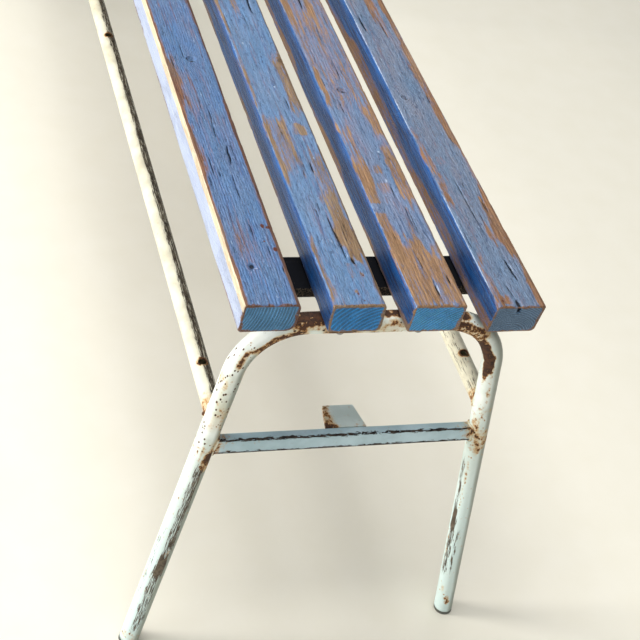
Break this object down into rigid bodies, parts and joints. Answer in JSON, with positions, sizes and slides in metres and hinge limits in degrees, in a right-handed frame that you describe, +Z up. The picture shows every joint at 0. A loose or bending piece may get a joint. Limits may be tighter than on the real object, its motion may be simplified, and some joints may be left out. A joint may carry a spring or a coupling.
{
  "type": "backless slatted bench",
  "caption": "Backless bench with parallel timber slats on two splayed bent-tube end hoops joined by low side rails.",
  "frame": {"origin": "on the floor, under the middle of the seat", "axes": "+X along the seat towards the far end, +Y towards the left side seen from the near end, +Z up"},
  "size_m": [1.276, 0.3722, 0.457],
  "materials": {
    "painted_timber": "worn satin paint over bare wood",
    "hoop_paint": "old gloss paint, rust spotted",
    "rail_paint": "old gloss paint",
    "stretcher_paint": "satin paint, rusty at the welds",
    "strap_paint": "matte dark paint",
    "screw_steel": "dull, weathered",
    "foot_plastic": "scuffed matte"
  },
  "bodies": {
    "root": {"cross_strap_far": "strap_paint", "cross_strap_middle": "strap_paint", "cross_strap_near": "strap_paint", "end_hoop_far": "hoop_paint", "end_hoop_near": "hoop_paint", "foot_plug_far_left": "foot_plastic", "foot_plug_far_right": "foot_plastic", "foot_plug_near_left": "foot_plastic", "foot_plug_near_right": "foot_plastic", "frame_screws_far": "screw_steel", "frame_screws_near": "screw_steel", "rail_left": "rail_paint", "rail_right": "rail_paint", "slat_1": "painted_timber", "slat_2": "painted_timber", "slat_3": "painted_timber", "slat_4": "painted_timber", "strap_screws_far": "screw_steel", "strap_screws_middle": "screw_steel", "strap_screws_near": "screw_steel", "stretcher_far": "stretcher_paint", "stretcher_lug_far": "stretcher_paint", "stretcher_lug_near": "stretcher_paint", "stretcher_near": "stretcher_paint"}
  },
  "joints": []
}
